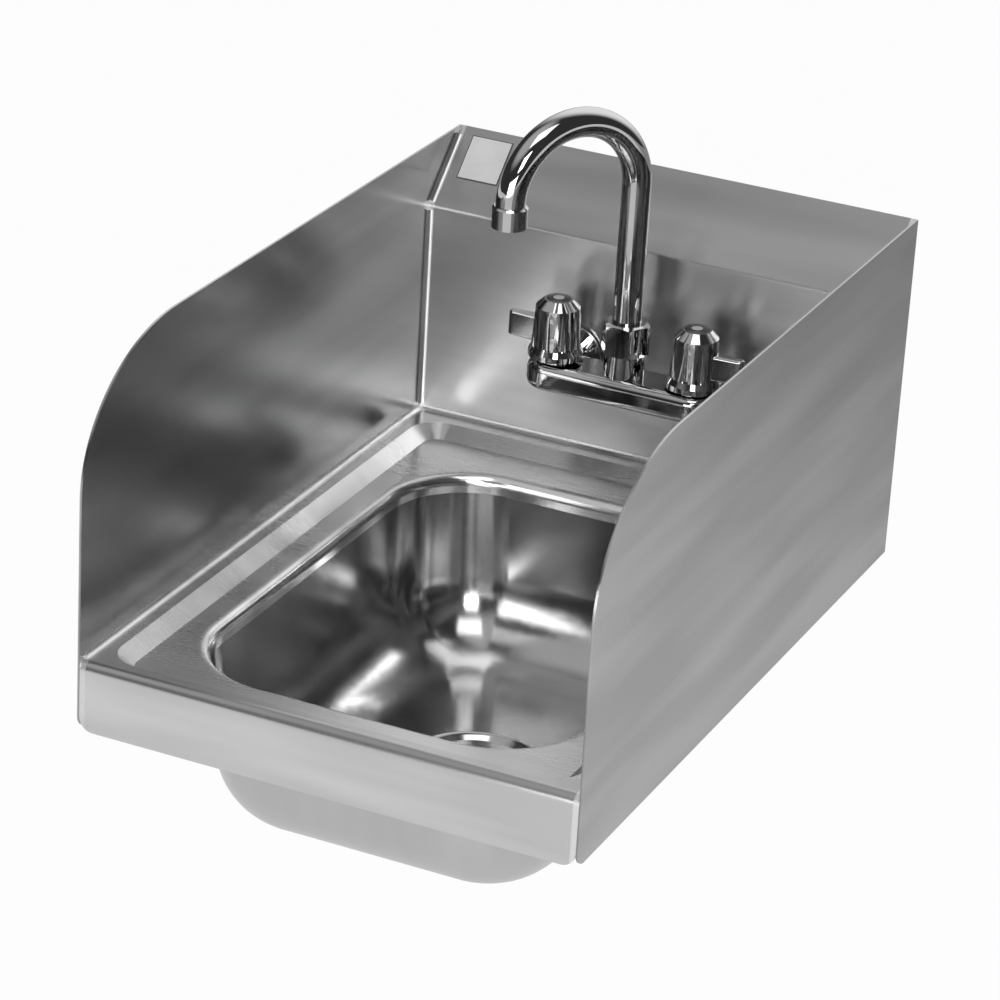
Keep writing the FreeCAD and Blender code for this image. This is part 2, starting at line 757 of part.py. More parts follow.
def handle_parts(sign):
    """Fluted hub with a lever, its screw into the stem and the index button on top."""
    x, y = sign * handle_spacing / 2, faucet_y
    shoulder = handle_top - handle_shoulder_drop
    foot = handle_bottom + handle_foot_height
    hub = turned([(0, handle_bottom), (handle_foot_radius, handle_bottom), (handle_foot_radius, foot),
                  (handle_waist_radius, foot + handle_foot_height), (handle_shoulder_radius, shoulder),
                  (button_radius + handle_top_rim, handle_top), (0, handle_top)], x, y)
    centre_line = handle_waist_radius + handle_flute_radius - handle_flute_depth
    flute_low = foot + handle_foot_height
    flutes = [disc(handle_flute_radius, flute_low, handle_top, fx, fy)
              for fx, fy in around(handle_flute_count, centre_line, x, y, middle_share)]
    hub = hub.cut(flutes).fuse(lever(sign, x, y))

    button_seat = handle_top - button_height + button_dome
    screw_seat = stem_top + socket_gap + handle_web
    screw_tip = screw_seat - handle_screw_length
    neck_top = bonnet_top + handle_neck_clearance
    hub = hub.cut([
        disc(handle_skirt_radius, handle_bottom - overrun,
             valve_top + bonnet_hex_height + handle_neck_clearance, x, y),
        disc(bonnet_neck_radius + handle_neck_clearance, handle_bottom, neck_top, x, y),
        disc(stem_radius + socket_gap, handle_bottom, stem_top + socket_gap, x, y),
        disc(handle_screw_radius + screw_hole_gap, handle_bottom, handle_top + overrun, x, y),
        disc(handle_screw_head_radius + screw_hole_gap, screw_seat, handle_top + overrun, x, y),
        disc(button_radius + button_gap, button_seat, handle_top + overrun, x, y),
    ])
    head_top = screw_seat + handle_screw_head_height
    screw = turned([(0, screw_tip), (handle_screw_radius, screw_tip),
                    (handle_screw_radius, screw_seat), (handle_screw_head_radius, screw_seat),
                    (handle_screw_head_radius, head_top), (0, head_top)], x, y)
    dome_radius = (button_radius ** 2 + button_dome ** 2) / (2 * button_dome)
    button_top = button_seat + button_height
    button = disc(button_radius, button_seat, button_top, x, y)
    button = button.common(Part.makeSphere(dome_radius, point(x, y, button_top - dome_radius)))
    return {"handle": hub, "handle_screw": screw, "index_button": button}


def spout_path(low, end_drop):
    """Upright line, half-circle bend and short drop, drawn straight ahead of the riser."""
    start = point(0, faucet_y, low)
    spring = point(0, faucet_y, spout_spring_height)
    crown = point(0, faucet_y - spout_bend_radius, spout_spring_height + spout_bend_radius)
    down = point(0, faucet_y - 2 * spout_bend_radius, spout_spring_height)
    end = point(0, faucet_y - 2 * spout_bend_radius, spout_spring_height - end_drop)
    return Part.Wire([Part.makeLine(start, spring), Part.Arc(spring, crown, down).toShape(),
                      Part.makeLine(down, end)])


def spout_tube():
    def pipe(radius, low, end_drop):
        circle = Part.Wire(Part.makeCircle(radius, point(0, faucet_y, low), point(0, 0, 1)))
        return spout_path(low, end_drop).makePipeShell([circle], True, False)

    outer = pipe(spout_radius, collar_bottom, spout_straight_end)
    inner = pipe(spout_radius - spout_wall, collar_bottom - overrun, spout_straight_end + overrun)
    return outer.cut(inner)


def spout_parts():
    """Gooseneck with its collar, seals and aerator, turned to where it rests."""
    x, y = 0, faucet_y
    fit = spout_bore_radius - spout_running_gap
    bore = spout_radius + braze_gap
    flange_top = boss_top + thrust_gap + collar_flange_height
    groove_radius = fit - 2 * seal_section_radius - seal_groove_gap
    seal_heights = [collar_bottom + seal_first_height + index * seal_pitch for index in range(2)]
    collar = turned([(bore, collar_bottom), (fit, collar_bottom), (fit, boss_top + thrust_gap),
                     (collar_flange_radius, boss_top + thrust_gap), (collar_flange_radius, flange_top),
                     (bore, flange_top)], x, y)
    half_groove = seal_section_radius + seal_groove_gap
    seals = []
    for height in seal_heights:
        collar = collar.cut(ring(fit + overrun, groove_radius, height - half_groove,
                                 height + half_groove, x, y))
        centre = groove_radius + seal_section_radius + seal_groove_gap / 2
        seals.append(Part.makeTorus(centre, seal_section_radius, point(x, y, height)))

    out_y = faucet_y - 2 * spout_bend_radius
    tube_end = outlet_top - spout_straight_end
    washer_low = tube_end - aerator_washer_height
    insert_low = outlet_bottom + aerator_lip_height
    inside = spout_radius + insert_gap
    housing = turned([(inside, outlet_top), (aerator_radius - aerator_edge_radius, outlet_top),
                      (aerator_radius, outlet_top - aerator_edge_radius), (aerator_radius, outlet_bottom),
                      (aerator_lip_radius, outlet_bottom), (aerator_lip_radius, insert_low),
                      (inside, insert_low)], x, out_y)
    insert_floor_top = insert_low + insert_floor
    insert = turned([(0, insert_low), (spout_radius, insert_low), (spout_radius, washer_low),
                     (spout_radius - insert_wall, washer_low),
                     (spout_radius - insert_wall, insert_floor_top), (0, insert_floor_top)], x, out_y)
    holes = [disc(insert_hole_radius, insert_low - overrun, insert_floor_top + overrun, x, out_y)]
    rings = ((insert_inner_count, insert_ring_pitch), (insert_outer_count, 2 * insert_ring_pitch))
    for count, radius in rings:
        for hole_x, hole_y in around(count, radius, x, out_y):
            holes.append(disc(insert_hole_radius, insert_low - overrun, insert_floor_top + overrun,
                              hole_x, hole_y))
    parts = {
        "spout_tube": spout_tube(),
        "spout_collar": collar,
        "spout_seals": Part.makeCompound(seals),
        "aerator_housing": housing,
        "aerator_insert": insert.cut(holes),
        "aerator_washer": ring(spout_radius, aerator_washer_bore, washer_low, tube_end, x, out_y),
    }
    for shape in parts.values():
        shape.rotate(point(x, y, 0), point(0, 0, 1), -spout_rest_turn)
    return parts


def spout_nut_parts():
    """Hexagon nut that holds the collar down, with the plain washer under its lip."""
    x, y = 0, faucet_y
    washer_low = boss_top + collar_flange_height + 2 * thrust_gap
    washer_top = washer_low + thrust_washer_height
    corner = nut_flats / 2 / math.cos(math.pi / hex_sides)
    blank = turned([(0, nut_bottom), (corner, nut_bottom), (corner, nut_top - nut_chamfer),
                    (nut_flats / 2 - nut_chamfer, nut_top), (0, nut_top)], x, y)
    nut = blank.common(hexagon(nut_flats, nut_bottom, nut_top, x, y))
    inside = spout_boss_radius + thread_gap
    passage = spout_radius + spout_running_gap
    nut = nut.cut([disc(inside, nut_bottom - overrun, washer_top, x, y),
                   disc(passage, nut_bottom, nut_top + overrun, x, y)])
    washer = ring(collar_flange_radius, passage, washer_low, washer_top, x, y)
    return {"spout_nut": nut, "spout_thrust_washer": washer}


def all_parts():
    parts = {
        "deck": deck(),
        "bowl": bowl(),
        "backsplash": backsplash(),
        "left_side_splash": side_splash(-1),
        "right_side_splash": side_splash(1),
        "wall_bracket": wall_bracket(),
        "faucet_body": faucet_body(),
    }
    parts.update(drain_parts())
    parts.update(spout_nut_parts())
    parts.update(spout_parts())
    for side, sign in side_signs.items():
        for group in (inlet_parts(sign), valve_parts(sign), handle_parts(sign)):
            parts.update({side + "_" + name: shape for name, shape in group.items()})
    return parts


os.makedirs("parts", exist_ok=True)
for node, shape in all_parts().items():
    shape.translate(point(0, 0, -wall_screw_height))
    shape.exportStep(os.path.join("parts", node + ".step"))
    solids = shape.Solids
    print(node, "solids", len(solids), "valid", shape.isValid(), "volume", round(shape.Volume, 1))
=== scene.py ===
import json
import math

import bpy
from mathutils import Matrix, Vector


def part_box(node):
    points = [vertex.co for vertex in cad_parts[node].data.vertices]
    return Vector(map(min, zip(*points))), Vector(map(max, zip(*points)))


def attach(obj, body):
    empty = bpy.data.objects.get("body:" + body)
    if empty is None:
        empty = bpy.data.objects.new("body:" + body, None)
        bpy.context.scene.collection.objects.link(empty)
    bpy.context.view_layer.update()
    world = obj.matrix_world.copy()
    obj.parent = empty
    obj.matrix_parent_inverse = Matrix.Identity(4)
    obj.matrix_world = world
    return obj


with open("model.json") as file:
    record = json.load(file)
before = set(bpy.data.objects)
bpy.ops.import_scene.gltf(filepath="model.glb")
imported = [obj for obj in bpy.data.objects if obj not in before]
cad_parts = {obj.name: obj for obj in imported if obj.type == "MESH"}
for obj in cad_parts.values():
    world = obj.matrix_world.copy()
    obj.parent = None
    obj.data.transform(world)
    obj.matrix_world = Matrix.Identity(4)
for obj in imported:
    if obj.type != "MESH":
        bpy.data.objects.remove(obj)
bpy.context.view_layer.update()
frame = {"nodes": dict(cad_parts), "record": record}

scene = bpy.context.scene
scene.view_settings.view_transform = "Standard"

# The photograph's viewpoint, in metres and degrees, and its lens, in millimetres
camera_place = Vector((0.9376, -2.3641, 0.9469))
camera_azimuth = 24.04
camera_elevation = 24.345
camera_roll = 3.35
camera_lens = 149.13
sensor_width = 36.0

# Sizes of the sheet metal that the masks of its finishes and of its painted light and shade line up with, in
# metres
deck_low, deck_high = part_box("deck")
splash_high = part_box("backsplash")[1]
sheet_thickness = 0.0015
ledge_height = -0.157
apron_clearance = 0.012
weld_width = 0.0035
weld_fade_before = 0.0006
weld_fade_after = 0.0004
rim_fade_start = 0.0002
rim_fade_end = 0.0008

# Pale centre of the index buttons, in metres
button_centre = sum(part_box("cold_index_button"), Vector()) / 2
button_spot_radius = 0.0036
button_spot_fade = 0.0003

# The bare label plate and the slope that it sticks to, in metres, and its paint
splash_fold = Vector((0, -0.0447, -0.004))
splash_crest = Vector((0, 0, 0.039))
plate_width = 0.0295
plate_height = 0.0325
plate_thickness = 0.0006
plate_left = -0.1497
plate_up_slope = 0.0235
plate_border = 0.0007
plate_edge = 0.00015
plate_middle = 0.001
plate_white = (0.86, 0.92)
plate_dark = (0.1, 0.14)
plate_rough = (0.3, 0.42)
plate_mark_size = 60.0
plate_grain_depth = 0.00001
upright_enough = 0.9

# Screw threads, in metres, and the share of the pitch that a ridge's section reaches
thread_relief = 0.0012
drain_tail_radius = 0.0241
shank_thread_pitch = 0.0018
drain_thread_pitch = 0.0022
ridge_share = 0.3
ridge_corners = 4
thread_steps = 32

# Axes that a grain can run along
along_x, along_y, along_z = 0, 1, 2

# Belt finish of the sheet: repeats per metre across and along the grain, and how much they change
streak_pitch = 600.0
streak_run = 4.0
band_pitch = 24.0
band_run = 3.0
streak_range = (0.3, 0.7)
streak_rough = 0.008
band_range = (0.36, 0.64)
band_shades = (0.86, 1.12)
smudge_rough = 0.03
sheet_rough = 0.26
sheet_spread = 0.75
sheet_mark_size = 9.0
sheet_grain_strength = 0.001
sheet_grain_depth = 0.0001
quarter_turn_of_spread = 0.25

# Buffing of the bowl
bowl_streak_scale = (260.0, 260.0, 14.0)
bowl_band_scale = (26.0, 26.0, 6.0)
bowl_band_range = (0.3, 0.7)
bowl_rough = (0.13, 0.16)
bowl_shades = (0.54, 0.66)
bowl_spread = 0.8
bowl_mark_size = 14.0
bowl_grain_strength = 0.003
bowl_grain_depth = 0.0002

# Wipe marks and dried drops
smudge_range = (0.35, 0.75)
spot_reach = 0.16
spot_fineness = 4.0
spot_rough = 0.04

# Moulded grain and the index buttons' plastic
moulded_fineness = 40
moulded_strength = 0.25
button_shades = (0.05, 0.7)
button_rough = (0.12, 0.2)
button_mark_size = 60.0

# Floor, in metres, and how it glows for the eye and in the metal
floor_height = -1.013
floor_size = 24.0
floor_shade = 0.85
floor_rough = 0.9
floor_fade = (1.2, 2.3)
floor_glow = (0.74, 0.35)
floor_glow_share = 0.97

# Room that only the metal sees: where its two glows are and how they fade
back_glow_direction = (0.0, 0.85, 0.53)
back_glow_fade = (0.6, 0.95)
ceiling_glow_direction = (-0.37, -0.37, 0.85)
ceiling_glow_fade = (0.75, 0.95)
ceiling_glow = (0.04, 0.5)

# Point that the lamps face, in metres
lamp_target = Vector((0, -0.25, -0.1))

# Plain range, and the slot that the record gives each node
unit_range = (0.0, 1.0)
material_slots = {part["node"]: part["material_slot"] for part in frame["record"]["subparts"]}


# Node helpers

def place(tree, kind, inputs=None, **settings):
    """Add a node of this kind, set its own settings and then the values of its inputs."""
    node = tree.nodes.new(kind)
    for name, value in settings.items():
        setattr(node, name, value)
    for name, value in (inputs or {}).items():
        node.inputs[name].default_value = value
    return node


def wire(tree, *pairs):
    """Link each pair of an output and an input."""
    for output, target in pairs:
        tree.links.new(output, target)


def stretch(tree, value, source, target, smooth=False):
    """Value mapped from one range to another, each given by its two ends."""
    kind = "SMOOTHSTEP" if smooth else "LINEAR"
    node = place(tree, "ShaderNodeMapRange", interpolation_type=kind)
    names = ("From Min", "From Max", "To Min", "To Max")
    for name, number in zip(names, (*source, *target)):
        node.inputs[name].default_value = number
    wire(tree, (value, node.inputs["Value"]))
    return node.outputs["Result"]


def blend_values(tree, factor, first, second):
    """A grey value between two, each an output or a number."""
    node = place(tree, "ShaderNodeMix", data_type="FLOAT")
    wire(tree, (factor, node.inputs["Factor"]))
    for socket, value in ((node.inputs["A"], first), (node.inputs["B"], second)):
        if isinstance(value, (int, float)):
            socket.default_value = value
        else:
            wire(tree, (value, socket))
    return node.outputs["Result"]


def blend_colours(tree, factor, first, second):
    """A colour between two, each a red, green and blue."""
    node = place(tree, "ShaderNodeMix", data_type="RGBA")
    sockets = {socket.identifier: socket for socket in node.inputs}
    wire(tree, (factor, sockets["Factor_Float"]))
    sockets["A_Color"].default_value = first + (1.0,)
    sockets["B_Color"].default_value = second + (1.0,)
    return next(socket for socket in node.outputs if socket.identifier == "Result_Color")


def math_node(tree, operation, first, second=None):
    """One sum or comparison of values, each an output or a number."""
    node = place(tree, "ShaderNodeMath", operation=operation)
    for socket, value in zip(node.inputs, (first, second)):
        if isinstance(value, (int, float)):
            socket.default_value = value
        elif value is not None:
            wire(tree, (value, socket))
    return node.outputs[0]


def add_share(tree, value, mask, share):
    """Value with a share of a mask added to it."""
    return math_node(tree, "ADD", value, math_node(tree, "MULTIPLY", mask, share))


def grey(value):
    return (value, value, value)


def new_group(name, inputs, outputs):
    """An empty shader group with these sockets, and its two end nodes."""
    group = bpy.data.node_groups.new(name, "ShaderNodeTree")
    for socket, kind in inputs:
        group.interface.new_socket(socket, in_out="INPUT", socket_type=kind)
    for socket, kind in outputs:
        group.interface.new_socket(socket, in_out="OUTPUT", socket_type=kind)
    return group, place(group, "NodeGroupInput"), place(group, "NodeGroupOutput")


def new_material(name):
    """A material with a Principled shader, and what its nodes are built from."""
    material = bpy.data.materials.new(name)
    material.use_nodes = True
    tree = material.node_tree
    shader = tree.nodes["Principled BSDF"]
    where = place(tree, "ShaderNodeTexCoord").outputs["Object"]
    return material, tree, shader, where


def axis_of(tree, where, axis):
    """The X, Y or Z of a place on the part."""
    parts = place(tree, "ShaderNodeSeparateXYZ")
    wire(tree, (where, parts.inputs[0]))
    return parts.outputs[axis]


# Shared effects

def brush_grain_group():
    """Long streaks left by the finishing belt: fine ones, and broad soft bands among them."""
    vector, value = "NodeSocketVector", "NodeSocketFloat"
    group, start, end = new_group(
        "Brush Grain",
        [("Place", vector), ("Streak Scale", vector), ("Band Scale", vector)],
        [("Streak", value), ("Band", value)])
    for scale, result, detail in (("Streak Scale", "Streak", 4.0), ("Band Scale", "Band", 2.0)):
        scaled = place(group, "ShaderNodeVectorMath", operation="MULTIPLY")
        noise = place(group, "ShaderNodeTexNoise", {"Scale": 1.0, "Detail": detail, "Roughness": 0.6})
        wire(group,
             (start.outputs["Place"], scaled.inputs[0]),
             (start.outputs[scale], scaled.inputs[1]),
             (scaled.outputs[0], noise.inputs["Vector"]),
             (noise.outputs["Fac"], end.inputs[result]))
    return group


def handling_group():
    """Faint wipe marks and water spots that come with use."""
    vector, value = "NodeSocketVector", "NodeSocketFloat"
    group, start, end = new_group(
        "Handling Marks",
        [("Place", vector), ("Size", value)],
        [("Smudge", value), ("Spot", value)])
    smudge = place(group, "ShaderNodeTexNoise", {"Detail": 2.0, "Roughness": 0.5, "Distortion": 0.3})
    spot = place(group, "ShaderNodeTexVoronoi", feature="SMOOTH_F1")
    finer = math_node(group, "MULTIPLY", start.outputs["Size"], spot_fineness)
    wire(group,
         (start.outputs["Place"], smudge.inputs["Vector"]),
         (start.outputs["Place"], spot.inputs["Vector"]),
         (start.outputs["Size"], smudge.inputs["Scale"]),
         (finer, spot.inputs["Scale"]),
         (stretch(group, smudge.outputs["Fac"], smudge_range, unit_range, True), end.inputs["Smudge"]),
         (stretch(group, spot.outputs["Distance"], (0.0, spot_reach), (1.0, 0.0), True), end.inputs["Spot"]))
    return group


brush_grain = brush_grain_group()
handling_marks = handling_group()


def use_group(tree, group, where, **values):
    """Put a shared effect at a place on the part, with its own plain values."""
    node = place(tree, "ShaderNodeGroup", node_tree=group)
    wire(tree, (where, node.inputs["Place"]))
    for name, value in values.items():
        node.inputs[name.replace("_", " ").title()].default_value = value
    return node


# Masks of the sheet metal, for its polished patches and its painted light and shade

def weld_polish_and_painted_highlight_mask(tree, where):
    """One in the strips of the ground welds along the side splashes, and nought between them; these strips
    get a polished finish and a painted highlight.
    """
    reach = math_node(tree, "ABSOLUTE", axis_of(tree, where, "X"))
    edge = deck_high.x - weld_width
    return stretch(tree, reach, (edge - weld_fade_before, edge + weld_fade_after), unit_range, True)


def rolled_rim_mask(tree, where):
    """One where the deck rolls down into the bowl, and nought on its flats and its apron; the roll gets a
    polished finish and a painted highlight.
    """
    fade = (ledge_height - rim_fade_end, ledge_height - rim_fade_start)
    below_ledge = stretch(tree, axis_of(tree, where, "Z"), fade, (1.0, 0.0), True)
    behind_apron = math_node(tree, "GREATER_THAN", axis_of(tree, where, "Y"), deck_low.y + apron_clearance)
    return math_node(tree, "MULTIPLY", below_ledge, behind_apron)


def apron_mask(tree, where):
    """One on the face of the front apron, where its grey is painted light, and nought on the rest of the
    deck.
    """
    return math_node(tree, "LESS_THAN", axis_of(tree, where, "Y"), deck_low.y + sheet_thickness / 2)


def inner_face_mask(tree, where):
    """One on the face of a side splash that looks over the bowl, where its grey is painted shade, nought on
    its outer face.
    """
    reach = math_node(tree, "ABSOLUTE", axis_of(tree, where, "X"))
    return math_node(tree, "LESS_THAN", reach, deck_high.x + sheet_thickness / 2)


def shade_by_height(tree, where, shades):
    """Grey that goes from one shade at the deck to another at the top of the splashes; where the two differ,
    the change is painted light and shade.
    """
    return stretch(tree, axis_of(tree, where, "Z"), (deck_high.z, splash_high.z), shades)


# Finishes, with the painted light and shade of the sheet metal

def grain_scales(axis, flat):
    """Scales of streaks and bands along this axis; on a flat sheet streaks also run down its slopes."""
    streaks = [streak_pitch] * 3
    bands = [band_pitch] * 3
    streaks[axis] = streak_run
    bands[axis] = band_run
    if flat:
        streaks[along_z] = streak_run
    return streaks, bands


def make_grained_metal(shader, spread):
    """Bare metal whose highlights spread across its grain."""
    shader.inputs["Metallic"].default_value = 1.0
    shader.inputs["Anisotropic"].default_value = spread
    shader.inputs["Anisotropic Rotation"].default_value = quarter_turn_of_spread


def brushed_steel(name, axis, shades, rough=sheet_rough, spread=sheet_spread, polish_and_painted_light=(), flat=False):
    """Sheet with a belt finish along one axis, its grey painted light and shade by height where the two
    shades differ, and places where masks give it a polished finish, painted highlights, painted light and
    painted shade.
    """
    material, tree, shader, where = new_material(name)
    streak_scale, band_scale = grain_scales(axis, flat)
    grain = use_group(tree, brush_grain, where, streak_scale=streak_scale, band_scale=band_scale)
    marks = use_group(tree, handling_marks, where, size=sheet_mark_size)
    # Grey by height; on the back sheet this is painted light at the foot and painted shade towards the top.
    shade = shade_by_height(tree, where, shades)
    rough_range = (rough - streak_rough, rough + streak_rough)
    roughness = stretch(tree, grain.outputs["Streak"], streak_range, rough_range)
    roughness = add_share(tree, roughness, marks.outputs["Smudge"], smudge_rough)
    # Each mask lays its own grey and roughness: polished welds and rim with painted highlights, painted
    # light on the apron, painted shade on the inner faces.
    for find_mask, polish_and_painted_light_shades, patch_rough in polish_and_painted_light:
        mask = find_mask(tree, where)
        shade = blend_values(tree, mask, shade, shade_by_height(tree, where, polish_and_painted_light_shades))
        roughness = blend_values(tree, mask, roughness, patch_rough)
    bands = stretch(tree, grain.outputs["Band"], band_range, band_shades)
    banded_shade = math_node(tree, "MULTIPLY", shade, bands)
    colour = place(tree, "ShaderNodeCombineColor")
    for channel in colour.inputs:
        wire(tree, (banded_shade, channel))
    bump = place(tree, "ShaderNodeBump", {"Strength": sheet_grain_strength, "Distance": sheet_grain_depth})
    grain_run = place(tree, "ShaderNodeCombineXYZ", {"XYZ"[axis]: 1.0})
    wire(tree,
         (colour.outputs[0], shader.inputs["Base Color"]),
         (roughness, shader.inputs["Roughness"]),
         (grain.outputs["Streak"], bump.inputs["Height"]),
         (bump.outputs["Normal"], shader.inputs["Normal"]),
         (grain_run.outputs[0], shader.inputs["Tangent"]))
    make_grained_metal(shader, spread)
    return material


def drawn_steel(name):
    """Bowl drawn from one sheet and buffed until it mirrors."""
    material, tree, shader, where = new_material(name)
    grain = use_group(tree, brush_grain, where, streak_scale=bowl_streak_scale, band_scale=bowl_band_scale)
    marks = use_group(tree, handling_marks, where, size=bowl_mark_size)
    dark, light = bowl_shades
    colour = blend_colours(tree, grain.outputs["Band"], grey(dark), grey(light))
    roughness = stretch(tree, grain.outputs["Band"], bowl_band_range, bowl_rough)
    roughness = add_share(tree, roughness, marks.outputs["Smudge"], smudge_rough)
    bump = place(tree, "ShaderNodeBump", {"Strength": bowl_grain_strength, "Distance": bowl_grain_depth})
    round_the_bowl = place(tree, "ShaderNodeTangent", direction_type="RADIAL", axis="Z")
    wire(tree,
         (colour, shader.inputs["Base Color"]),
         (roughness, shader.inputs["Roughness"]),
         (grain.outputs["Streak"], bump.inputs["Height"]),
         (bump.outputs["Normal"], shader.inputs["Normal"]),
         (round_the_bowl.outputs["Tangent"], shader.inputs["Tangent"]))
    make_grained_metal(shader, bowl_spread)
    return material


def plated_metal(name, dark, light, rough, mark_size):
    """Plated or polished metal with faint finger marks and dried drops."""
    material, tree, shader, where = new_material(name)
    marks = use_group(tree, handling_marks, where, size=mark_size)
    colour = blend_colours(tree, marks.outputs["Smudge"], light, dark)
    roughness = stretch(tree, marks.outputs["Smudge"], unit_range, rough)
    roughness = add_share(tree, roughness, marks.outputs["Spot"], spot_rough)
    wire(tree, (colour, shader.inputs["Base Color"]), (roughness, shader.inputs["Roughness"]))
    shader.inputs["Metallic"].default_value = 1.0
    return material


def moulded(name, dark, light, rough, mark_size, grain_depth):
    """Rubber, plastic or ceramic with a fine moulded grain and slight shade changes."""
    material, tree, shader, where = new_material(name)
    marks = use_group(tree, handling_marks, where, size=mark_size)
    grain = place(tree, "ShaderNodeTexNoise", {"Scale": mark_size * moulded_fineness, "Detail": 3.0})
    bump = place(tree, "ShaderNodeBump", {"Strength": moulded_strength, "Distance": grain_depth})
    colour = blend_colours(tree, marks.outputs["Smudge"], grey(light), grey(dark))
    wire(tree,
         (where, grain.inputs["Vector"]),
         (grain.outputs["Fac"], bump.inputs["Height"]),
         (bump.outputs["Normal"], shader.inputs["Normal"]),
         (colour, shader.inputs["Base Color"]),
         (stretch(tree, marks.outputs["Smudge"], unit_range, rough), shader.inputs["Roughness"]))
    return material


def index_plastic(name):
    """Dark button with a pale round centre."""
    material, tree, shader, where = new_material(name)
    marks = use_group(tree, handling_marks, where, size=button_mark_size)
    across = math_node(tree, "ABSOLUTE", axis_of(tree, where, "X"))
    aside = math_node(tree, "SUBTRACT", across, button_centre.x)
    ahead = math_node(tree, "SUBTRACT", axis_of(tree, where, "Y"), button_centre.y)
    squares = [math_node(tree, "POWER", offset, 2.0) for offset in (aside, ahead)]
    reach = math_node(tree, "SQRT", math_node(tree, "ADD", *squares))
    fade = (button_spot_radius - button_spot_fade, button_spot_radius + button_spot_fade)
    centre = stretch(tree, reach, fade, (1.0, 0.0), True)
    dark, light = button_shades
    wire(tree,
         (blend_colours(tree, centre, grey(dark), grey(light)), shader.inputs["Base Color"]),
         (stretch(tree, marks.outputs["Smudge"], unit_range, button_rough), shader.inputs["Roughness"]))
    return material


# Which finish is where, with the painted light and shade of the deck and splashes

dark_brass = (0.5, 0.36, 0.16)
light_brass = (0.72, 0.56, 0.3)
finish_of_slot = {
    "stainless_sheet": brushed_steel("Brushed Sheet", along_x, (0.62, 0.62)),
    "stainless_bowl": drawn_steel("Buffed Bowl"),
    "chrome_plate": plated_metal("Chrome Plate", grey(0.54), grey(0.64), rough=(0.03, 0.06), mark_size=22.0),
    "polished_drain": plated_metal("Polished Drain", grey(0.56), grey(0.68), rough=(0.1, 0.2),
                                   mark_size=30.0),
    "raw_brass": plated_metal("Raw Brass", dark_brass, light_brass, rough=(0.2, 0.36), mark_size=40.0),
    "black_rubber": moulded("Black Rubber", 0.018, 0.035, (0.55, 0.7), mark_size=40.0, grain_depth=0.00005),
    "pale_plastic": moulded("Pale Plastic", 0.7, 0.8, (0.35, 0.5), mark_size=40.0, grain_depth=0.00002),
    "index_plastic": index_plastic("Index Plastic"),
    "valve_ceramic": moulded("Valve Ceramic", 0.78, 0.86, (0.1, 0.16), mark_size=60.0, grain_depth=0.00001),
}

# Each polished patch and each painted patch of light and shade has a mask, its shades at the deck and at the
# top of the splashes, and a roughness
# Ground welds: a real polished finish, with a lighter grey (0.95) that is a painted highlight.
welds = (weld_polish_and_painted_highlight_mask, (0.95, 0.95), 0.4)
# Rolled rim: a real polished finish, with a lighter grey (0.85) that is a painted highlight.
rolled_rim = (rolled_rim_mask, (0.85, 0.85), 0.2)
# Apron: a lighter grey (0.76 against 0.6 on the deck) that is painted light on its front face.
apron = (apron_mask, (0.76, 0.76), 0.26)
# Inner faces of the side splashes: a darker grey (0.36 to 0.42 against 0.5 outside) that is painted shade,
# darker towards the deck.
inner_face_painted_shade = (inner_face_mask, (0.36, 0.42), 0.22)
side_sheet = brushed_steel("Brushed Side Sheet", along_y, (0.5, 0.5), spread=0.3, polish_and_painted_light=[inner_face_painted_shade])
deck_sheet = brushed_steel("Brushed Deck", along_x, (0.6, 0.6),
                           polish_and_painted_light=[apron, welds, rolled_rim], flat=True)
# Back sheet: a grey of 0.72 at the deck fading to 0.5 at the top, painted light at the foot and painted
# shade higher up.
back_sheet = brushed_steel("Brushed Back Sheet", along_x, (0.72, 0.5),
                           rough=0.3, spread=0.85, polish_and_painted_light=[welds])
finish_and_painted_light_of_node = {
    "deck": deck_sheet,
    "backsplash": back_sheet,
    "left_side_splash": side_sheet,
    "right_side_splash": side_sheet,
}


def dress_nodes():
    """Give every carried-over node its finish, with the painted light and shade of the deck and splashes."""
    for name, node in frame["nodes"].items():
        finish = finish_and_painted_light_of_node.get(name, finish_of_slot[material_slots[name]])
        node.data.materials.clear()
        node.data.materials.append(finish)


# Modelling helpers

def deselect_all():
    bpy.ops.object.select_all(action="DESELECT")


def start_editing(piece):
    """Edit this piece by its faces, with all of them selected."""
    bpy.context.view_layer.objects.active = piece
    bpy.ops.object.mode_set(mode="EDIT")
    bpy.ops.mesh.select_mode(type="FACE")
    bpy.ops.mesh.select_all(action="SELECT")


def stop_editing():
    bpy.ops.object.mode_set(mode="OBJECT")


def faces_up(face):
    return face.normal.z > upright_enough


def select_faces(piece, test):
    """In edit mode, select the faces that pass the test."""
    bpy.ops.object.mode_set(mode="OBJECT")
    for face in piece.data.polygons:
        face.select = test(face)
    bpy.ops.object.mode_set(mode="EDIT")


def apply_modifier(piece, kind, **settings):
    """Add a modifier, set it and apply it."""
    bpy.context.view_layer.objects.active = piece
    modifier = piece.modifiers.new(kind.title(), kind)
    for name, value in settings.items():
        setattr(modifier, name, value)
    bpy.ops.object.modifier_apply(modifier=modifier.name)


# The bare label plate

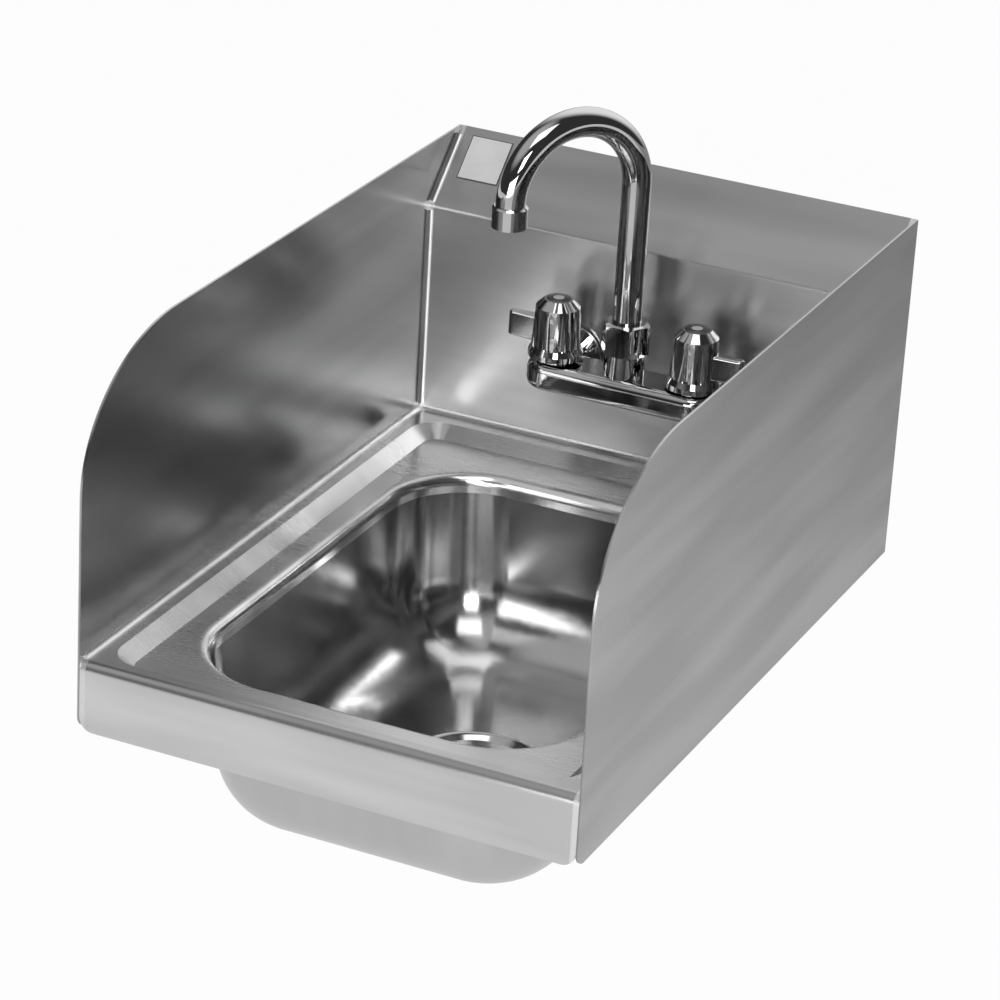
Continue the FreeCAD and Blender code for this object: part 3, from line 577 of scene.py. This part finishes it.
def label_plate():
    """White plate with a thin dark printed border, stuck to the sloped top of the back splash."""
    deselect_all()
    bpy.ops.mesh.primitive_cube_add(size=1.0)
    plate = bpy.context.object
    plate.name = "label_plate"
    start_editing(plate)
    bpy.ops.transform.resize(value=(plate_width, plate_height, plate_thickness))
    select_faces(plate, faces_up)
    bpy.ops.mesh.inset(thickness=plate_border)
    stop_editing()
    for name, (dark, light) in (("Label White", plate_white), ("Label Border", plate_dark)):
        paint = moulded(name, dark, light, plate_rough, plate_mark_size, plate_grain_depth)
        plate.data.materials.append(paint)
    white, border = 0, 1
    for face in plate.data.polygons:
        in_middle = max(abs(face.center.x), abs(face.center.y)) < plate_middle
        face.material_index = white if in_middle and faces_up(face) else border
    apply_modifier(plate, "BEVEL", width=plate_edge, segments=2)
    slope = splash_crest - splash_fold
    tilt = math.atan2(slope.z, slope.y)
    up_slope = slope.normalized()
    outwards = Vector((0, -up_slope.z, up_slope.y))
    centre = splash_fold + up_slope * (plate_up_slope + plate_height / 2) + outwards * plate_thickness / 2
    centre.x = plate_left + plate_width / 2
    plate.data.transform(Matrix.Translation(centre) @ Matrix.Rotation(tilt, 4, "X"))
    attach(plate, "basin")


# Screw threads

def wound_thread(name, radius, pitch, length):
    """Ridge of a thread, wound upwards round Z from a four-cornered section."""
    deselect_all()
    bpy.ops.mesh.primitive_circle_add(vertices=ridge_corners, radius=pitch * ridge_share)
    ridge = bpy.context.object
    ridge.name = name
    start_editing(ridge)
    bpy.ops.transform.rotate(value=math.pi / 2, orient_axis="X", center_override=(0, 0, 0))
    bpy.ops.transform.translate(value=(radius, 0, pitch / 2))
    stop_editing()
    apply_modifier(ridge, "SCREW", screw_offset=pitch, iterations=int(length / pitch) - 1,
                   steps=thread_steps, render_steps=thread_steps)
    start_editing(ridge)
    bpy.ops.mesh.fill_holes(sides=ridge_corners)
    bpy.ops.mesh.normals_make_consistent(inside=False)
    stop_editing()
    return ridge


def seat_thread(ridge, placing, slot):
    """Put a thread on the piece that carries it."""
    ridge.data.transform(placing)
    ridge.data.materials.append(finish_of_slot[slot])
    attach(ridge, "basin")


def inlet_threads():
    """Free ends of the two inlet shanks, between their locknuts and the wall."""
    for side in ("hot", "cold"):
        shank_low, shank_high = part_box(side + "_inlet_shank")
        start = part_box(side + "_shank_locknut")[1].y + thread_relief
        radius = (shank_high.x - shank_low.x) / 2
        ridge = wound_thread(side + "_inlet_thread", radius, shank_thread_pitch, shank_high.y - start)
        axis = (shank_low + shank_high) / 2
        axis.y = start
        to_wall = Matrix.Rotation(-math.pi / 2, 4, "X")
        seat_thread(ridge, Matrix.Translation(axis) @ to_wall, material_slots[side + "_inlet_shank"])


def drain_thread():
    """Free end of the drain tail, below its locknut."""
    body_low, body_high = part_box("drain_body")
    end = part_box("drain_locknut")[0].z - thread_relief
    ridge = wound_thread("drain_thread", drain_tail_radius, drain_thread_pitch, end - body_low.z)
    axis = (body_low + body_high) / 2
    axis.z = body_low.z
    seat_thread(ridge, Matrix.Translation(axis), material_slots["drain_body"])


# Camera, floor and light

def direction_from_front(azimuth, elevation):
    """Unit vector towards a viewer who stands at these angles from straight ahead."""
    turn, rise = math.radians(azimuth), math.radians(elevation)
    return Vector((math.sin(turn) * math.cos(rise), -math.cos(turn) * math.cos(rise), math.sin(rise)))


def photograph_camera():
    """Camera at the photograph's place, with its slight tilt."""
    forward = -direction_from_front(camera_azimuth, camera_elevation)
    roll = math.radians(camera_roll)
    level_right = forward.cross(Vector((0, 0, 1))).normalized()
    level_up = level_right.cross(forward)
    right = level_right * math.cos(roll) + level_up * math.sin(roll)
    up = right.cross(forward)
    data = bpy.data.cameras.new("Photograph View")
    data.lens = camera_lens
    data.sensor_width = sensor_width
    camera = bpy.data.objects.new("Photograph View", data)
    scene.collection.objects.link(camera)
    turn = Matrix((right, up, -forward)).transposed().to_4x4()
    camera.matrix_world = Matrix.Translation(camera_place) @ turn
    scene.camera = camera


def floor_finish():
    """White to the eye; in the metal a pale grey that falls away to the rear; clear from below."""
    material, tree, shader, where = new_material("Pale Floor")
    shader.inputs["Base Color"].default_value = grey(floor_shade) + (1.0,)
    shader.inputs["Roughness"].default_value = floor_rough
    light_path = place(tree, "ShaderNodeLightPath")
    for_camera = light_path.outputs["Is Camera Ray"]
    pool = stretch(tree, axis_of(tree, where, "Y"), floor_fade, floor_glow)
    glow = place(tree, "ShaderNodeEmission")
    either = math_node(tree, "MAXIMUM", for_camera, light_path.outputs["Is Glossy Ray"])
    shown = place(tree, "ShaderNodeMixShader")
    under = place(tree, "ShaderNodeMixShader")
    geometry = place(tree, "ShaderNodeNewGeometry")
    clear = place(tree, "ShaderNodeBsdfTransparent")
    wire(tree,
         (blend_values(tree, for_camera, pool, 1.0), glow.inputs["Strength"]),
         (math_node(tree, "MULTIPLY", either, floor_glow_share), shown.inputs["Fac"]),
         (shader.outputs[0], shown.inputs[1]),
         (glow.outputs[0], shown.inputs[2]),
         (geometry.outputs["Backfacing"], under.inputs["Fac"]),
         (shown.outputs[0], under.inputs[1]),
         (clear.outputs[0], under.inputs[2]),
         (under.outputs[0], tree.nodes["Material Output"].inputs["Surface"]))
    return material


def pale_floor():
    """Plain white floor at the height of a room's floor under the basin."""
    deselect_all()
    bpy.ops.mesh.primitive_plane_add(size=floor_size, location=(0, 0, floor_height))
    floor = bpy.context.object
    floor.name = "floor"
    floor.data.materials.append(floor_finish())


def studio_world():
    """White to the eye; in the metal a dim room with a glow at the back and another high on the left."""
    world = bpy.data.worlds.new("Studio")
    scene.world = world
    world.use_nodes = True
    tree = world.node_tree
    sky = tree.nodes["Background"]
    sky.inputs["Color"].default_value = grey(1.0) + (1.0,)
    looking = place(tree, "ShaderNodeTexCoord").outputs["Generated"]
    rearwards = place(tree, "ShaderNodeVectorMath", {1: back_glow_direction}, operation="DOT_PRODUCT")
    upwards = place(tree, "ShaderNodeVectorMath", {1: ceiling_glow_direction}, operation="DOT_PRODUCT")
    wire(tree, (looking, rearwards.inputs[0]), (looking, upwards.inputs[0]))
    back_wall = stretch(tree, rearwards.outputs["Value"], back_glow_fade, unit_range, True)
    ceiling = stretch(tree, upwards.outputs["Value"], ceiling_glow_fade, ceiling_glow, True)
    room = math_node(tree, "ADD", back_wall, ceiling)
    for_camera = place(tree, "ShaderNodeLightPath").outputs["Is Camera Ray"]
    wire(tree, (blend_values(tree, for_camera, room, 1.0), sky.inputs["Strength"]))


def soft_lamp(name, azimuth, elevation, distance, width, height, radiance):
    """Area lamp that faces the basin, placed by its angles from straight ahead."""
    away = direction_from_front(azimuth, elevation)
    data = bpy.data.lights.new(name, "AREA")
    data.shape = "RECTANGLE"
    data.size = width
    data.size_y = height
    data.energy = radiance * math.pi * width * height
    lamp = bpy.data.objects.new(name, data)
    scene.collection.objects.link(lamp)
    lamp.location = lamp_target + away * distance
    lamp.rotation_euler = away.to_track_quat("Z", "Y").to_euler()
    lamp.visible_camera = False


dress_nodes()
label_plate()
inlet_threads()
drain_thread()
photograph_camera()
pale_floor()
studio_world()
soft_lamp("Front Softbox", azimuth=24, elevation=26, distance=3.2, width=1.0, height=1.0, radiance=6.5)
soft_lamp("Low Front Fill", azimuth=6, elevation=4, distance=2.6, width=2.0, height=0.8, radiance=4.2)
soft_lamp("Overhead Softbox", azimuth=24, elevation=66, distance=2.2, width=1.2, height=1.0, radiance=2.0)
